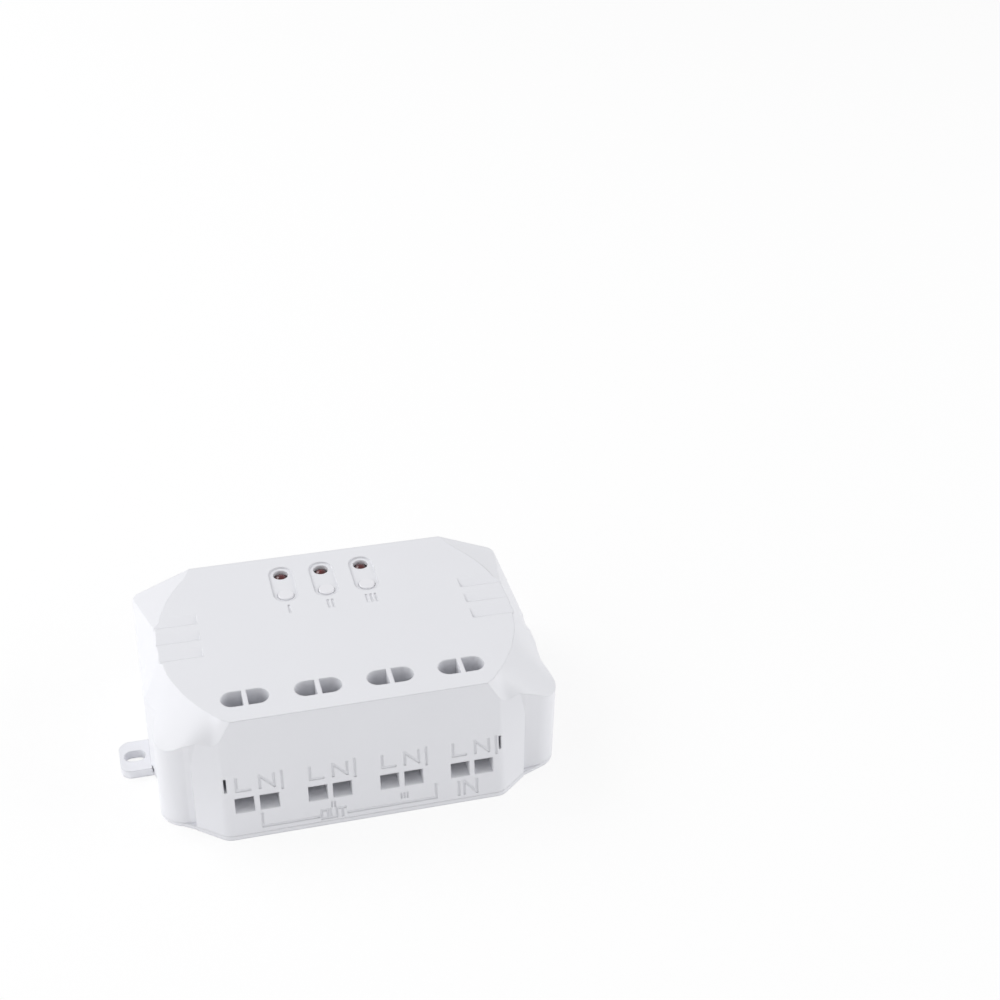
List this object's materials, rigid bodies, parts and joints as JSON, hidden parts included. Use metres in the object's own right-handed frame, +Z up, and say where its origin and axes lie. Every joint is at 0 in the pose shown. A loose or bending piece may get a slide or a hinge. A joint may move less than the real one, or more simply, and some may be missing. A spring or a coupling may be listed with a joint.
{
  "type": "smart relay module",
  "caption": "White surface-mount relay box with paired wire entries along a leaning front, screwdriver wells, indicator lamps, push buttons and two fixing ears.",
  "frame": {"origin": "on the ground under the middle of the case, which is the middle of the whole part's box", "axes": "+X to the right along the row of wire entries, +Y from the front to the back, +Z up"},
  "size_m": [0.1458, 0.09, 0.0404],
  "materials": {
    "white_shell": "fine satin moulded plastic, white",
    "button_white": "fine satin moulded plastic, white",
    "terminal_plastic": "pale grey moulded plastic",
    "plated_steel": "zinc-plated steel",
    "contact_metal": "tinned brass",
    "board": "green solder mask on glass-filled board",
    "relay_case": "black moulded plastic",
    "black_plastic": "black moulded plastic",
    "lamp_red": "deep red tinted epoxy, clear and glossy",
    "ferrite": "dark matt ferrite",
    "coil_tape": "yellow insulating tape",
    "capacitor_sleeve": "dark shrink sleeve",
    "filter_box": "yellow moulded box",
    "varistor_coat": "blue lacquer",
    "fuse_ceramic": "white ceramic tube with plated caps",
    "shield_tin": "tinned sheet",
    "antenna_ceramic": "white ceramic"
  },
  "bodies": {
    "case": {"top_cover": "white_shell", "base_plate": "white_shell", "main_board": "board", "control_board": "board", "radio_board": "board", "terminal_pins": "contact_metal", "lamp_legs": "contact_metal", "link_pins": "contact_metal", "board_screws": "plated_steel", "case_screws": "plated_steel", "board_spacers": "contact_metal", "fuse_tube": "fuse_ceramic", "fuse_clips": "contact_metal", "varistor": "varistor_coat", "filter_capacitor": "filter_box", "transformer_core": "ferrite", "transformer_coil": "coil_tape", "reservoir_capacitor": "capacitor_sleeve", "drum_choke": "ferrite", "power_chip": "black_plastic", "driver_transistors": "black_plastic", "link_socket": "black_plastic", "radio_shield": "shield_tin", "chip_antenna": "antenna_ceramic", "terminal_housing_1": "terminal_plastic", "terminal_housing_2": "terminal_plastic", "terminal_housing_3": "terminal_plastic", "terminal_housing_4": "terminal_plastic", "relay_1": "relay_case", "switch_body_1": "black_plastic", "indicator_lamp_1": "lamp_red", "relay_2": "relay_case", "switch_body_2": "black_plastic", "indicator_lamp_2": "lamp_red", "relay_3": "relay_case", "switch_body_3": "black_plastic", "indicator_lamp_3": "lamp_red"},
    "screw_1": {"clamp_screw_1": "plated_steel"},
    "cage_1": {"clamp_cage_1": "plated_steel"},
    "screw_2": {"clamp_screw_2": "plated_steel"},
    "cage_2": {"clamp_cage_2": "plated_steel"},
    "screw_3": {"clamp_screw_3": "plated_steel"},
    "cage_3": {"clamp_cage_3": "plated_steel"},
    "screw_4": {"clamp_screw_4": "plated_steel"},
    "cage_4": {"clamp_cage_4": "plated_steel"},
    "screw_5": {"clamp_screw_5": "plated_steel"},
    "cage_5": {"clamp_cage_5": "plated_steel"},
    "screw_6": {"clamp_screw_6": "plated_steel"},
    "cage_6": {"clamp_cage_6": "plated_steel"},
    "screw_7": {"clamp_screw_7": "plated_steel"},
    "cage_7": {"clamp_cage_7": "plated_steel"},
    "screw_8": {"clamp_screw_8": "plated_steel"},
    "cage_8": {"clamp_cage_8": "plated_steel"},
    "button_1": {"button_cap_1": "button_white", "switch_plunger_1": "black_plastic"},
    "button_2": {"button_cap_2": "button_white", "switch_plunger_2": "black_plastic"},
    "button_3": {"button_cap_3": "button_white", "switch_plunger_3": "black_plastic"}
  },
  "joints": [
    {"name": "screw_turn_1", "type": "hinge", "parent": "case", "child": "screw_1", "pos_m": [-0.03756, -0.0266, 0.02], "axis": [0, 0, -1], "range_deg": [0, 2520]},
    {"name": "cage_lift_1", "type": "slide", "parent": "case", "child": "cage_1", "axis": [0, 0, 1], "range_m": [0, 0.0035]},
    {"name": "screw_turn_2", "type": "hinge", "parent": "case", "child": "screw_2", "pos_m": [-0.02994, -0.0266, 0.02], "axis": [0, 0, -1], "range_deg": [0, 2520]},
    {"name": "cage_lift_2", "type": "slide", "parent": "case", "child": "cage_2", "axis": [0, 0, 1], "range_m": [0, 0.0035]},
    {"name": "screw_turn_3", "type": "hinge", "parent": "case", "child": "screw_3", "pos_m": [-0.01506, -0.0266, 0.02], "axis": [0, 0, -1], "range_deg": [0, 2520]},
    {"name": "cage_lift_3", "type": "slide", "parent": "case", "child": "cage_3", "axis": [0, 0, 1], "range_m": [0, 0.0035]},
    {"name": "screw_turn_4", "type": "hinge", "parent": "case", "child": "screw_4", "pos_m": [-0.00744, -0.0266, 0.02], "axis": [0, 0, -1], "range_deg": [0, 2520]},
    {"name": "cage_lift_4", "type": "slide", "parent": "case", "child": "cage_4", "axis": [0, 0, 1], "range_m": [0, 0.0035]},
    {"name": "screw_turn_5", "type": "hinge", "parent": "case", "child": "screw_5", "pos_m": [0.00744, -0.0266, 0.02], "axis": [0, 0, -1], "range_deg": [0, 2520]},
    {"name": "cage_lift_5", "type": "slide", "parent": "case", "child": "cage_5", "axis": [0, 0, 1], "range_m": [0, 0.0035]},
    {"name": "screw_turn_6", "type": "hinge", "parent": "case", "child": "screw_6", "pos_m": [0.01506, -0.0266, 0.02], "axis": [0, 0, -1], "range_deg": [0, 2520]},
    {"name": "cage_lift_6", "type": "slide", "parent": "case", "child": "cage_6", "axis": [0, 0, 1], "range_m": [0, 0.0035]},
    {"name": "screw_turn_7", "type": "hinge", "parent": "case", "child": "screw_7", "pos_m": [0.02994, -0.0266, 0.02], "axis": [0, 0, -1], "range_deg": [0, 2520]},
    {"name": "cage_lift_7", "type": "slide", "parent": "case", "child": "cage_7", "axis": [0, 0, 1], "range_m": [0, 0.0035]},
    {"name": "screw_turn_8", "type": "hinge", "parent": "case", "child": "screw_8", "pos_m": [0.03756, -0.0266, 0.02], "axis": [0, 0, -1], "range_deg": [0, 2520]},
    {"name": "cage_lift_8", "type": "slide", "parent": "case", "child": "cage_8", "axis": [0, 0, 1], "range_m": [0, 0.0035]},
    {"name": "button_press_1", "type": "slide", "parent": "case", "child": "button_1", "axis": [0, 0, -1], "range_m": [0, 0.0005], "stiffness_N_per_m": 1600, "springref_m": -0.0001},
    {"name": "button_press_2", "type": "slide", "parent": "case", "child": "button_2", "axis": [0, 0, -1], "range_m": [0, 0.0005], "stiffness_N_per_m": 1600, "springref_m": -0.0001},
    {"name": "button_press_3", "type": "slide", "parent": "case", "child": "button_3", "axis": [0, 0, -1], "range_m": [0, 0.0005], "stiffness_N_per_m": 1600, "springref_m": -0.0001}
  ],
  "couplings": [
    {"joint": "screw_turn_1", "follows": "cage_lift_1", "rad_per_m": 12566},
    {"joint": "screw_turn_2", "follows": "cage_lift_2", "rad_per_m": 12566},
    {"joint": "screw_turn_3", "follows": "cage_lift_3", "rad_per_m": 12566},
    {"joint": "screw_turn_4", "follows": "cage_lift_4", "rad_per_m": 12566},
    {"joint": "screw_turn_5", "follows": "cage_lift_5", "rad_per_m": 12566},
    {"joint": "screw_turn_6", "follows": "cage_lift_6", "rad_per_m": 12566},
    {"joint": "screw_turn_7", "follows": "cage_lift_7", "rad_per_m": 12566},
    {"joint": "screw_turn_8", "follows": "cage_lift_8", "rad_per_m": 12566}
  ]
}
